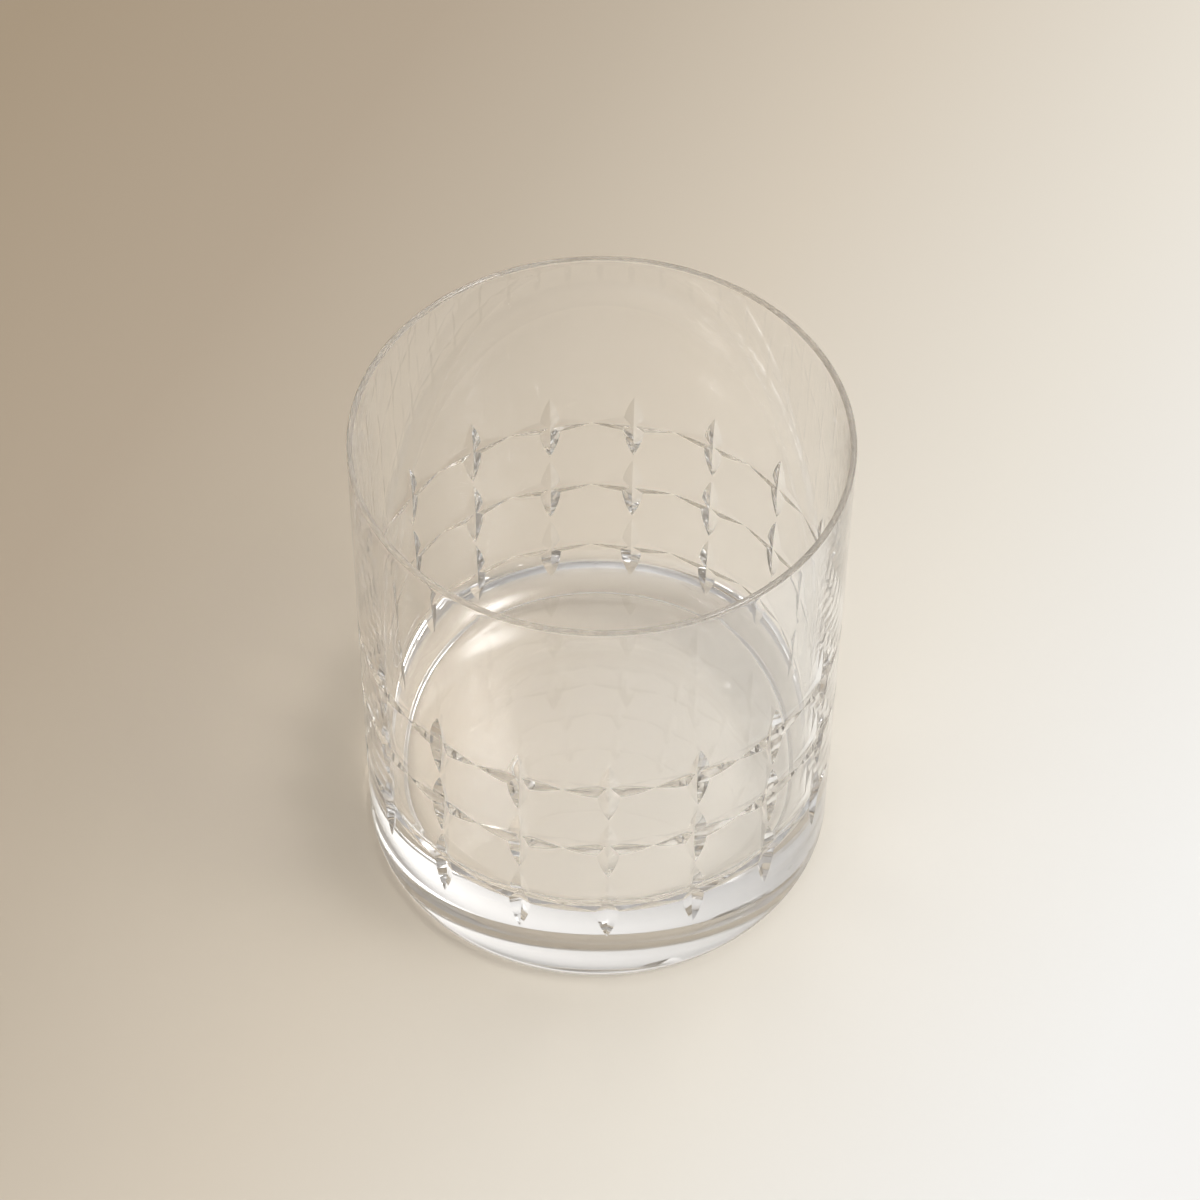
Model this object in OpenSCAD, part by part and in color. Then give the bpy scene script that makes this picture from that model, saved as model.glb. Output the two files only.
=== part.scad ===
// Heavy-based whiskey tumbler: one piece of clear glass with three rows of cross-shaped cuts.
// Millimetres, +Z up. The origin is on the axis, level with the narrow ring that the glass stands on.

/* [Overall] */
// Height from the table to the lip
height = 101.5; // [96:0.5:112]
// Outer diameter at the lip
lip_d = 88; // [86:0.5:92]
// Outer diameter that the straight side reaches at the table
foot_d = 86.8; // [85:0.2:88]
// Radius of the outer corner between the side and the standing ring
foot_r = 3; // [2:0.5:4]

/* [Glass thickness] */
// Thickness of the round lip
lip_t = 1.2; // [0.9:0.1:1.6]
// Thickness of the side at its foot, where the cove begins
side_t = 2.6; // [2.4:0.1:3.2]
// Height of the flat inner floor above the table
base_t = 17.4; // [16:0.1:19]

/* [Base] */
// Radius of the cove between the side and the inner floor
cove_r = 8; // [7:0.1:8.4]
// Angle through which the cove turns before the tighter floor corner begins
cove_turn = 68; // [60:1:72]
// Radius of the tighter corner between the cove and the inner floor
corner_r = 1.6; // [1:0.1:2]
// Height of the shallow domed hollow under the base
hollow_h = 2.4; // [1:0.1:3]
// Diameter of the hollow at the table
hollow_d = 77.2; // [70:0.2:78]

/* [Cross cuts] */
// Number of crosses in one row around the glass
columns = 17; // [15:2:21]
// Height of the lowest row of crosses
low_row_z = 24.2; // [23:0.1:26]
// Distance from one row of crosses to the next
row_pitch = 17; // [16.6:0.1:18]
// Depth of the upright cuts below the surface
upright_depth = 0.9; // [0.5:0.05:1]
// Length of the upright cuts, from the lowest row up
upright_len = [17.4, 15.6, 15.6];
// How far the middle of an upright cut lies below its crossing, from the lowest row up
upright_drop = [1.3, 0.6, 0.6];
// Angle between the two flanks of every cut
cut_angle = 135; // [110:1:136]

/* [Hidden] */
$fn = 180;

lip_r = lip_d / 2;
lip_round = lip_t / 2;
side_slope = (lip_d - foot_d) / 2 / height;
foot_x = side_r(foot_r) - foot_r;
cove_x = side_r(base_t + cove_r) - side_t - cove_r;
cove_z = base_t + corner_r + (cove_r - corner_r) * sin(cove_turn);
corner_x = cove_x + (cove_r - corner_r) * cos(cove_turn);
hollow_dome_r = (hollow_d * hollow_d / 4 + hollow_h * hollow_h) / 2 / hollow_h;
hollow_half_angle = asin(hollow_d / 2 / hollow_dome_r);
half_step = 180 / columns;
flank = tan(cut_angle / 2);
arc_steps = 10;
outside_reach = 1.5;
tip_gap = 0.2;

// Outer radius of the straight side at height z
function side_r(z) = foot_d / 2 + side_slope * z;

// Radius of a wheel that leaves a cut of the given length and depth on an upright side
function upright_wheel_r(length, depth) = length * length / 8 / depth + depth / 2;

// Points of a round stretch about a centre, from one angle to another
function arc(centre, radius, from, to) = [
    for (i = [0 : arc_steps])
        let (angle = from + (to - from) * i / arc_steps)
        centre + radius * [cos(angle), sin(angle)]
];

// The round glass before it is cut: the hollow, the standing ring, the side, the lip, and down the inside
module blank() {
    rotate_extrude()
        polygon(concat(
            arc([0, hollow_h - hollow_dome_r], hollow_dome_r, 90, 90 - hollow_half_angle),
            arc([foot_x, foot_r], foot_r, -90, 0),
            arc([lip_r - lip_round, height - lip_round], lip_round, 0, 180),
            arc([cove_x, cove_z], cove_r, 0, -cove_turn),
            arc([corner_x, base_t + corner_r], corner_r, -cove_turn, -90),
            [[0, base_t]]
        ));
}

// A level cut: a straight notch that runs out on the side just short of where the next one begins
module level_cut(row) {
    z = low_row_z + row * row_pitch;
    r = side_r(z);
    step = 2 * r * sin(half_step);
    bottom_r = sqrt(r * r - pow((step - tip_gap) / 2, 2));
    reach = r - bottom_r + outside_reach;
    translate([bottom_r, 0, z])
        rotate([90, 0, 0])
            linear_extrude(step - tip_gap / 2, center = true)
                polygon([[0, 0], [reach, reach * flank], [reach, -reach * flank]]);
}

// An upright cut: the pointed rim of a grinding wheel, only as far as it goes into the side
module upright_cut(row) {
    z = low_row_z + row * row_pitch - upright_drop[row];
    wheel_r = upright_wheel_r(upright_len[row], upright_depth);
    reach = upright_depth + outside_reach;
    bottom_r = side_r(z) - upright_depth;
    cut_h = upright_len[row] + tip_gap;
    intersection() {
        translate([bottom_r + wheel_r, 0, z])
            for (turn = [90, -90])
                rotate([turn, 0, 0])
                    cylinder(h = reach * flank, r1 = wheel_r, r2 = wheel_r - reach);
        translate([bottom_r - 1, -reach * flank, z - cut_h / 2])
            cube([1 + reach, 2 * reach * flank, cut_h]);
    }
}

// A ring of one kind of cut in one row
module around() {
    for (column = [0 : columns - 1])
        rotate([0, 0, column * 360 / columns - 90]) children();
}

module tumbler() {
    color([0.93, 0.93, 0.90, 0.45])
        difference() {
            blank();
            around() level_cut(0);
            around() level_cut(1);
            around() level_cut(2);
            around() upright_cut(0);
            around() upright_cut(1);
            around() upright_cut(2);
        }
}

tumbler();
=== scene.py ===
"""Whiskey tumbler: clear glass with three rows of cross-shaped cuts, on a pale studio floor."""
import math

import bmesh
import bpy
import numpy as np
from mathutils import Matrix, Vector


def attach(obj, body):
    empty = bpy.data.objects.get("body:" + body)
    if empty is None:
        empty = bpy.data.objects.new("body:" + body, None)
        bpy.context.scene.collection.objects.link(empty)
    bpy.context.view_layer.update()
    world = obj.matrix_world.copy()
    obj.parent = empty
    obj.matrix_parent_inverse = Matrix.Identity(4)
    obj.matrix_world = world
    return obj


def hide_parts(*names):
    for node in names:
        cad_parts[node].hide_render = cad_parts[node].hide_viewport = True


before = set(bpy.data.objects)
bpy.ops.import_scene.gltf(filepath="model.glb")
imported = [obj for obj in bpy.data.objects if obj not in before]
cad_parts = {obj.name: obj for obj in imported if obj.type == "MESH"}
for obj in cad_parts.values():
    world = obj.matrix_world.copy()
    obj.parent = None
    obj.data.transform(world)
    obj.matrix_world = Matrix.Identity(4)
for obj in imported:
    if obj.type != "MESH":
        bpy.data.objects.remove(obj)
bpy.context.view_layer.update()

MM = 0.001

# ---- the glass, in millimetres, as in the CAD model ----
HEIGHT = 101.5
LIP_R = 44.0
FOOT_WALL_R = 43.4
FOOT_ROUND = 3.0
LIP_T = 1.2
SIDE_T = 2.6
BASE_T = 17.4
COVE_R = 8.0
COVE_TURN = 68.0
CORNER_R = 1.6
HOLLOW_H = 2.4
HOLLOW_R = 38.6

COLUMNS = 17
ROW_Z = (24.2, 41.2, 58.2)
UPRIGHT_DEPTH = 0.9
UPRIGHT_LEN = (17.4, 15.6, 15.6)
UPRIGHT_DROP = (1.3, 0.6, 0.6)
CUT_ANGLE = 135.0
OUTSIDE_REACH = 1.5
TIP_GAP = 0.2

# What a face of the glass mesh belongs to, kept as its material index while the mesh is built
TURNED, LEVEL, UPRIGHT = 0, 1, 2

# Straight pieces that the curves and straights are made of
ROUND_STEPS = COLUMNS * 24
DOME_STEPS = 24
FOOT_STEPS = 16
OUTSIDE_STEPS = 40
LIP_STEPS = 20
INSIDE_STEPS = 48
COVE_STEPS = 24
CORNER_STEPS = 8
FLOOR_STEPS = 12
CUTTER_LENGTHS = 40
CUTTER_FLANK_STEPS = 6
CUTTER_EDGE_CROWDING = 1.5

# How near a point lies to the straight side, and how far from its ends, to count as on it
SIDE_NEAR = 0.002
SIDE_END = 0.01
NORMAL_BATCH = 20000

GLASS_IOR = 1.52
GLASS_TINT = (0.55, 0.51, 0.45, 1.0)
GLASS_DENSITY = 5.2

SIDE_SLOPE = (LIP_R - FOOT_WALL_R) / HEIGHT
LIP_Z = HEIGHT - LIP_T / 2
FLANK = math.tan(math.radians(CUT_ANGLE / 2))


def side_r(z):
    """Outer radius of the straight side at height z."""
    return FOOT_WALL_R + SIDE_SLOPE * z


COVE_X = side_r(BASE_T + COVE_R) - SIDE_T - COVE_R
COVE_Z = BASE_T + CORNER_R + (COVE_R - CORNER_R) * math.sin(math.radians(COVE_TURN))
CORNER_X = COVE_X + (COVE_R - CORNER_R) * math.cos(math.radians(COVE_TURN))


# ---- section of the glass: points of radius, height and outward normal ----
def round_stretch(centre_x, centre_z, radius, start, end, steps, hollow=False):
    """Points along an arc; the glass lies outside the arc where it is hollow."""
    way = -1 if hollow else 1
    points = []
    for i in range(steps + 1):
        angle = math.radians(start + (end - start) * i / steps)
        c, s = math.cos(angle), math.sin(angle)
        points.append((centre_x + radius * c, centre_z + radius * s, way * c, way * s))
    return points


def straight_stretch(start, end, steps):
    """Points inside a straight line, without its ends, with the normal to the right of its direction."""
    dx, dz = end[0] - start[0], end[1] - start[1]
    length = math.hypot(dx, dz)
    normal = (dz / length, -dx / length)
    return [(start[0] + dx * i / steps, start[1] + dz * i / steps, *normal) for i in range(1, steps)]


def outline():
    """Half of the section, from the middle of the hollow out, up, over the lip and down to the middle."""
    dome_r = (HOLLOW_R ** 2 + HOLLOW_H ** 2) / 2 / HOLLOW_H
    half_angle = math.degrees(math.asin(HOLLOW_R / dome_r))
    dome = round_stretch(0, HOLLOW_H - dome_r, dome_r, 90, 90 - half_angle, DOME_STEPS, hollow=True)
    foot_x = side_r(FOOT_ROUND) - FOOT_ROUND
    foot = round_stretch(foot_x, FOOT_ROUND, FOOT_ROUND, -90, 0, FOOT_STEPS)
    lip = round_stretch(LIP_R - LIP_T / 2, LIP_Z, LIP_T / 2, 0, 180, LIP_STEPS)
    cove = round_stretch(COVE_X, COVE_Z, COVE_R, 0, -COVE_TURN, COVE_STEPS, hollow=True)
    corner_z = BASE_T + CORNER_R
    corner = round_stretch(CORNER_X, corner_z, CORNER_R, -COVE_TURN, -90, CORNER_STEPS, hollow=True)
    middle = (0.0, BASE_T, 0.0, 1.0)
    outside = straight_stretch(foot[-1], lip[0], OUTSIDE_STEPS)
    inside = straight_stretch(lip[-1], cove[0], INSIDE_STEPS)
    floor = straight_stretch(corner[-1], middle, FLOOR_STEPS)
    return dome + foot + outside + lip + inside + cove + corner[1:] + floor + [middle]


# ---- meshes ----
def revolve(points, steps):
    """Vertices and faces of the section turned about Z, with the two points on the axis shared."""
    rings = points[1:-1]
    verts = [(0.0, 0.0, points[0][1])]
    for k in range(steps):
        angle = 2 * math.pi * k / steps
        c, s = math.cos(angle), math.sin(angle)
        verts += [(r * c, r * s, z) for r, z, _, _ in rings]
    verts.append((0.0, 0.0, points[-1][1]))
    n = len(rings)
    last = len(verts) - 1
    faces = []
    for k in range(steps):
        a, b = 1 + k * n, 1 + ((k + 1) % steps) * n
        faces.append((0, b, a))
        faces += [(a + i, b + i, b + i + 1, a + i + 1) for i in range(n - 1)]
        faces.append((a + n - 1, b + n - 1, last))
    return verts, faces


def mesh_object(name, verts, faces):
    """A new object from millimetre coordinates, with all its faces turned outward."""
    mesh = bpy.data.meshes.new(name)
    mesh.from_pydata([tuple(c * MM for c in v) for v in verts], [], faces)
    bm = bmesh.new()
    bm.from_mesh(mesh)
    bmesh.ops.recalc_face_normals(bm, faces=bm.faces)
    bm.to_mesh(mesh)
    bm.free()
    obj = bpy.data.objects.new(name, mesh)
    bpy.context.scene.collection.objects.link(obj)
    return obj


def column_turn(column):
    """Cosine and sine of a column's angle; column 0 faces -Y."""
    angle = 2 * math.pi * column / COLUMNS - math.pi / 2
    return np.cos(angle), np.sin(angle)


def level_cutter(row):
    """A straight notch that runs out on the side just short of the next one."""
    z = ROW_Z[row]
    r = side_r(z)
    step = 2 * r * math.sin(math.pi / COLUMNS)
    bottom = math.sqrt(r * r - ((step - TIP_GAP) / 2) ** 2)
    reach = r - bottom + OUTSIDE_REACH
    half = (step - TIP_GAP / 2) / 2
    verts = []
    for y in (-half, half):
        verts.append((bottom, y, z))
        verts.append((bottom + reach, y, z + reach * FLANK))
        verts.append((bottom + reach, y, z - reach * FLANK))
    faces = [(0, 1, 2), (3, 5, 4), (0, 3, 4, 1), (1, 4, 5, 2), (2, 5, 3, 0)]
    return verts, faces


def upright_wheel(row):
    """Radius of the grinding wheel, and the distance of its centre from the axis and from the table."""
    z = ROW_Z[row] - UPRIGHT_DROP[row]
    radius = UPRIGHT_LEN[row] ** 2 / 8 / UPRIGHT_DEPTH + UPRIGHT_DEPTH / 2
    return radius, side_r(z) - UPRIGHT_DEPTH + radius, z


def upright_cutter(row):
    """The pointed rim of the wheel: a bar with a curved edge toward the glass and two coned flanks."""
    radius, centre, middle_z = upright_wheel(row)
    outer_x = side_r(middle_z) + OUTSIDE_REACH
    half_len = (UPRIGHT_LEN[row] + TIP_GAP) / 2
    along, across = CUTTER_LENGTHS, CUTTER_FLANK_STEPS
    verts = []
    for k in range(along + 1):
        dz = half_len * (2 * k / along - 1)
        edge_x = centre - math.sqrt(radius * radius - dz * dz)
        verts.append((edge_x, 0.0, middle_z + dz))
        for side in (1, -1):
            for i in range(1, across + 1):
                x = edge_x + (outer_x - edge_x) * (i / across) ** CUTTER_EDGE_CROWDING
                y = side * FLANK * (radius - math.hypot(centre - x, dz))
                verts.append((x, y, middle_z + dz))
    n = 2 * across + 1
    loop = list(range(across, -1, -1)) + list(range(across + 1, n))
    faces = [tuple(reversed(loop)), tuple(along * n + i for i in loop)]
    for k in range(along):
        a, b = k * n, (k + 1) * n
        for p, q in zip(loop, loop[1:] + loop[:1]):
            faces.append((a + p, a + q, b + q, b + p))
    return verts, faces


def ring_of(cutter):
    """One closed mesh of all the cuts of a kind, three rows of them round the glass."""
    verts, faces = [], []
    for row in range(len(ROW_Z)):
        points, polygons = cutter(row)
        for column in range(COLUMNS):
            base = len(verts)
            c, s = column_turn(column)
            verts += [(x * c - y * s, x * s + y * c, z) for x, y, z in points]
            faces += [tuple(base + i for i in polygon) for polygon in polygons]
    return verts, faces


def subtract(target, cutter):
    """Cuts one object out of another and removes the cutter."""
    mod = target.modifiers.new("cut", "BOOLEAN")
    mod.operation = "DIFFERENCE"
    mod.object = cutter
    mod.solver = "MANIFOLD"
    bpy.context.view_layer.update()
    evaluated = target.evaluated_get(bpy.context.evaluated_depsgraph_get())
    cut = bpy.data.meshes.new_from_object(evaluated)
    target.modifiers.remove(mod)
    target.data = cut
    bpy.data.objects.remove(cutter)


# ---- exact normals, so that the glass bends light as smooth surfaces do ----
def turned_normals(place, section):
    """Normals of the turned surfaces: those of the nearest point of the section, turned to each place."""
    r = np.hypot(place[:, 0], place[:, 1])
    z = place[:, 2]
    nearest = np.zeros(len(r), dtype=np.int64)
    for start in range(0, len(r), NORMAL_BATCH):
        part = slice(start, start + NORMAL_BATCH)
        gap = (r[part, None] - section[:, 0]) ** 2 + (z[part, None] - section[:, 1]) ** 2
        nearest[part] = gap.argmin(1)
    normal_r, normal_z = section[nearest, 2], section[nearest, 3]
    on_side = np.abs(r - side_r(z)) < SIDE_NEAR
    on_side &= (z > FOOT_ROUND + SIDE_END) & (z < LIP_Z - SIDE_END)
    normal_r[on_side] = 1.0
    normal_z[on_side] = -SIDE_SLOPE
    r = np.maximum(r, 1e-9)
    return np.stack([normal_r * place[:, 0] / r, normal_r * place[:, 1] / r, normal_z], 1)


def upright_normals(place, middle):
    """Normals of the upright cuts' coned flanks, from each place and the middle of its face."""
    angle = np.arctan2(middle[:, 1], middle[:, 0]) + math.pi / 2
    c, s = column_turn(np.round(angle * COLUMNS / (2 * math.pi)))
    wheels = np.array([upright_wheel(row) for row in range(len(ROW_Z))])
    row = np.abs(middle[:, 2, None] - wheels[:, 2]).argmin(1)
    dx = place[:, 0] * c + place[:, 1] * s - wheels[row, 1]
    dz = place[:, 2] - wheels[row, 2]
    rho = np.hypot(dx, dz)
    side = np.sign(middle[:, 1] * c - middle[:, 0] * s)
    x, y, z = -FLANK * dx / rho, -side, -FLANK * dz / rho
    return np.stack([x * c - y * s, x * s + y * c, z], 1)


def set_exact_normals(obj, points):
    """Gives each corner of each face the true normal of the surface that the face lies on."""
    mesh = obj.data
    vertex_place = np.zeros(len(mesh.vertices) * 3)
    mesh.vertices.foreach_get("co", vertex_place)
    corner_vertex = np.zeros(len(mesh.loops), dtype=np.int64)
    mesh.loops.foreach_get("vertex_index", corner_vertex)
    count = len(mesh.polygons)
    corners = np.zeros(count, dtype=np.int64)
    kind = np.zeros(count, dtype=np.int64)
    face_normal = np.zeros(count * 3)
    mesh.polygons.foreach_get("loop_total", corners)
    mesh.polygons.foreach_get("material_index", kind)
    mesh.polygons.foreach_get("normal", face_normal)
    place = vertex_place.reshape(-1, 3)[corner_vertex] / MM
    owner = np.repeat(np.arange(count), corners)
    middle = np.zeros((count, 3))
    np.add.at(middle, owner, place)
    middle /= corners[:, None]

    normals = turned_normals(place, np.array(points))
    level = kind[owner] == LEVEL
    normals[level] = face_normal.reshape(-1, 3)[owner[level]]
    upright = kind[owner] == UPRIGHT
    normals[upright] = upright_normals(place[upright], middle[owner[upright]])
    normals /= np.linalg.norm(normals, axis=1)[:, None]
    mesh.polygons.foreach_set("use_smooth", np.ones(count, dtype=bool))
    mesh.normals_split_custom_set(normals.tolist())


# ---- the tumbler ----
def glass_material():
    """Clear polished glass, with the faint warm grey that long ways through it show."""
    mat = bpy.data.materials.new("clear_glass")
    mat.use_nodes = True
    nodes = mat.node_tree.nodes
    bsdf = nodes["Principled BSDF"]
    bsdf.inputs["Base Color"].default_value = (1.0, 1.0, 1.0, 1.0)
    bsdf.inputs["Roughness"].default_value = 0.0
    bsdf.inputs["IOR"].default_value = GLASS_IOR
    bsdf.inputs["Transmission Weight"].default_value = 1.0
    body = nodes.new("ShaderNodeVolumeAbsorption")
    body.inputs["Color"].default_value = GLASS_TINT
    body.inputs["Density"].default_value = GLASS_DENSITY
    mat.node_tree.links.new(body.outputs["Volume"], nodes["Material Output"].inputs["Volume"])
    return mat


def build_glass():
    """The turned glass with both kinds of cuts taken out, in one material."""
    points = outline()
    glass = mesh_object("tumbler_glass", *revolve(points, ROUND_STEPS))
    mat = glass_material()
    for _ in (TURNED, LEVEL, UPRIGHT):
        glass.data.materials.append(mat)
    for kind, cutter in ((LEVEL, level_cutter), (UPRIGHT, upright_cutter)):
        tool = mesh_object("cutter", *ring_of(cutter))
        for _ in (TURNED, LEVEL, UPRIGHT):
            tool.data.materials.append(mat)
        tool.data.polygons.foreach_set("material_index", [kind] * len(tool.data.polygons))
        subtract(glass, tool)
    set_exact_normals(glass, points)
    glass.data.polygons.foreach_set("material_index", [0] * len(glass.data.polygons))
    glass.data.materials.pop(index=UPRIGHT)
    glass.data.materials.pop(index=LEVEL)
    return glass


glass = build_glass()
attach(glass, "root")
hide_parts("tumbler")


# ---- floor: pale paper with painted shade, going from warm tan behind on the left to near white in front on the right, as the light falls ----
SCENE_TURN = math.radians(-2.56)
FLOOR_HALF = 2500
FLOOR_DROP = 0.02
PAPER_ROUGHNESS = 0.9
# Painted shade: the fall of light across the floor is painted into the paper's colour along this way,
# darker and warmer behind on the left.
PAINTED_SHADE_WAY = (1.0, -0.46)
PAINTED_SHADE_STOPS = (
    (-230, (0.385, 0.305, 0.215)),
    (-140, (0.450, 0.370, 0.280)),
    (-95, (0.520, 0.445, 0.350)),
    (-30, (0.665, 0.590, 0.485)),
    (45, (0.800, 0.752, 0.665)),
    (120, (0.890, 0.880, 0.850)),
    (170, (0.910, 0.900, 0.885)),
)


def paper_painted_shade_material():
    """Matt paper whose colour changes along one direction across the floor: painted shade, darker and
    warmer where less light falls.
    """
    mat = bpy.data.materials.new("floor_paper_painted_shade")
    mat.use_nodes = True
    nodes, links = mat.node_tree.nodes, mat.node_tree.links
    place = nodes.new("ShaderNodeNewGeometry")
    along = nodes.new("ShaderNodeVectorMath")
    along.operation = "DOT_PRODUCT"
    along.inputs[1].default_value = Matrix.Rotation(SCENE_TURN, 3, "Z") @ Vector((*PAINTED_SHADE_WAY, 0))
    links.new(place.outputs["Position"], along.inputs[0])
    first, last = PAINTED_SHADE_STOPS[0][0], PAINTED_SHADE_STOPS[-1][0]
    share = nodes.new("ShaderNodeMapRange")
    share.inputs["From Min"].default_value = first * MM
    share.inputs["From Max"].default_value = last * MM
    links.new(along.outputs["Value"], share.inputs["Value"])
    # This ramp paints the light's falloff into the base colour as painted shade.
    ramp = nodes.new("ShaderNodeValToRGB")
    stops = ramp.color_ramp.elements
    for _ in PAINTED_SHADE_STOPS[2:]:
        stops.new(0.5)
    for stop, (distance, colour) in zip(stops, PAINTED_SHADE_STOPS):
        stop.position = (distance - first) / (last - first)
        stop.color = (*colour, 1.0)
    links.new(share.outputs["Result"], ramp.inputs["Fac"])
    bsdf = nodes["Principled BSDF"]
    links.new(ramp.outputs["Color"], bsdf.inputs["Base Color"])
    bsdf.inputs["Roughness"].default_value = PAPER_ROUGHNESS
    bsdf.inputs["Specular IOR Level"].default_value = 0.0
    return mat


def build_floor():
    """One large square just under the glass."""
    signs = ((-1, -1), (1, -1), (1, 1), (-1, 1))
    corners = [(x * FLOOR_HALF, y * FLOOR_HALF, -FLOOR_DROP) for x, y in signs]
    floor = mesh_object("floor", corners, [(0, 1, 2, 3)])
    floor.data.materials.append(paper_painted_shade_material())
    return floor


build_floor()


# ---- camera ----
VIEW_ELEVATION = math.radians(50.116)
VIEW_DISTANCE = 782.3
VIEW_AIM_UP = 37.04
VIEW_ROLL = math.radians(-0.634)
VIEW_LENS = 122.8
SENSOR = 36.0
VIEW_END = 20.0


def build_camera():
    """The camera, set from the middle of the foot by its angle, distance, roll and lens."""
    c, s = math.cos(VIEW_ELEVATION), math.sin(VIEW_ELEVATION)
    right, up, ahead = Vector((1, 0, 0)), Vector((0, s, c)), Vector((0, c, -s))
    place = VIEW_AIM_UP * up - VIEW_DISTANCE * ahead
    rolled_right = right * math.cos(VIEW_ROLL) - up * math.sin(VIEW_ROLL)
    rolled_up = right * math.sin(VIEW_ROLL) + up * math.cos(VIEW_ROLL)
    aim = Matrix((rolled_right, rolled_up, -ahead)).transposed().to_4x4()
    data = bpy.data.cameras.new("camera")
    data.lens = VIEW_LENS
    data.sensor_width = SENSOR
    data.clip_end = VIEW_END
    camera = bpy.data.objects.new("camera", data)
    bpy.context.scene.collection.objects.link(camera)
    camera.matrix_world = Matrix.Rotation(SCENE_TURN, 4, "Z") @ Matrix.Translation(place * MM) @ aim
    bpy.context.scene.camera = camera


build_camera()


# ---- light: a pale room that is dark near the horizon, with a few soft bright patches ----
ROOM_COLOUR = (0.475, 0.471, 0.471)
HORIZON_COLOUR = (0.10, 0.08, 0.07)
HORIZON_HEIGHT = (0.05, 0.40)
# Azimuth (0 in front, 90 right) and elevation in degrees, tightness and brightness
PATCHES = (
    (130, 40, 14, 1.2),
    (70, 54, 70, 12.0),
    (180, 58, 8, 0.6),
    (-10, 42, 6, 0.42),
)


def direction(azimuth, elevation):
    """Unit vector toward a place in the room."""
    a, e = math.radians(azimuth) + SCENE_TURN, math.radians(elevation)
    return Vector((math.sin(a) * math.cos(e), -math.cos(a) * math.cos(e), math.sin(e)))


def world_math(tree, operation, first, second, third=None):
    """A maths node whose inputs are sockets or plain numbers; returns its output."""
    node = tree.nodes.new("ShaderNodeMath")
    node.operation = operation
    for socket, value in zip(node.inputs, (first, second, third)):
        if isinstance(value, bpy.types.NodeSocket):
            tree.links.new(value, socket)
        elif value is not None:
            socket.default_value = value
    return node.outputs[0]


def build_world():
    """The room: its colour by height above the horizon, plus the patches."""
    world = bpy.data.worlds.new("studio")
    world.use_nodes = True
    tree = world.node_tree
    way = tree.nodes.new("ShaderNodeTexCoord").outputs["Generated"]
    glow = 0.0
    for azimuth, elevation, tightness, brightness in PATCHES:
        facing = tree.nodes.new("ShaderNodeVectorMath")
        facing.operation = "DOT_PRODUCT"
        facing.inputs[1].default_value = direction(azimuth, elevation)
        tree.links.new(way, facing.inputs[0])
        falloff = world_math(tree, "MULTIPLY_ADD", facing.outputs["Value"], tightness, -tightness)
        patch = world_math(tree, "EXPONENT", falloff, None)
        glow = world_math(tree, "MULTIPLY_ADD", patch, brightness, glow)
    height = tree.nodes.new("ShaderNodeSeparateXYZ")
    tree.links.new(way, height.inputs[0])
    above = tree.nodes.new("ShaderNodeMapRange")
    above.interpolation_type = "SMOOTHSTEP"
    above.inputs["From Min"].default_value = HORIZON_HEIGHT[0]
    above.inputs["From Max"].default_value = HORIZON_HEIGHT[1]
    tree.links.new(height.outputs["Z"], above.inputs["Value"])
    room = tree.nodes.new("ShaderNodeMix")
    room.data_type = "RGBA"
    room.inputs["A"].default_value = (*HORIZON_COLOUR, 1.0)
    room.inputs["B"].default_value = (*ROOM_COLOUR, 1.0)
    tree.links.new(above.outputs["Result"], room.inputs["Factor"])
    total = tree.nodes.new("ShaderNodeVectorMath")
    total.operation = "ADD"
    tree.links.new(room.outputs["Result"], total.inputs[0])
    tree.links.new(glow, total.inputs[1])
    tree.links.new(total.outputs["Vector"], tree.nodes["Background"].inputs["Color"])
    bpy.context.scene.world = world


build_world()

# ---- light that is caught in the glass wall turns many times before it leaves ----
LIGHT_TURNS = 160
scene = bpy.context.scene
scene.view_settings.view_transform = "Standard"
scene.cycles.max_bounces = LIGHT_TURNS
scene.cycles.transmission_bounces = LIGHT_TURNS
scene.cycles.glossy_bounces = LIGHT_TURNS
scene.cycles.caustics_refractive = True
scene.cycles.caustics_reflective = True
scene.cycles.blur_glossy = 0.0
scene.cycles.use_denoising = True
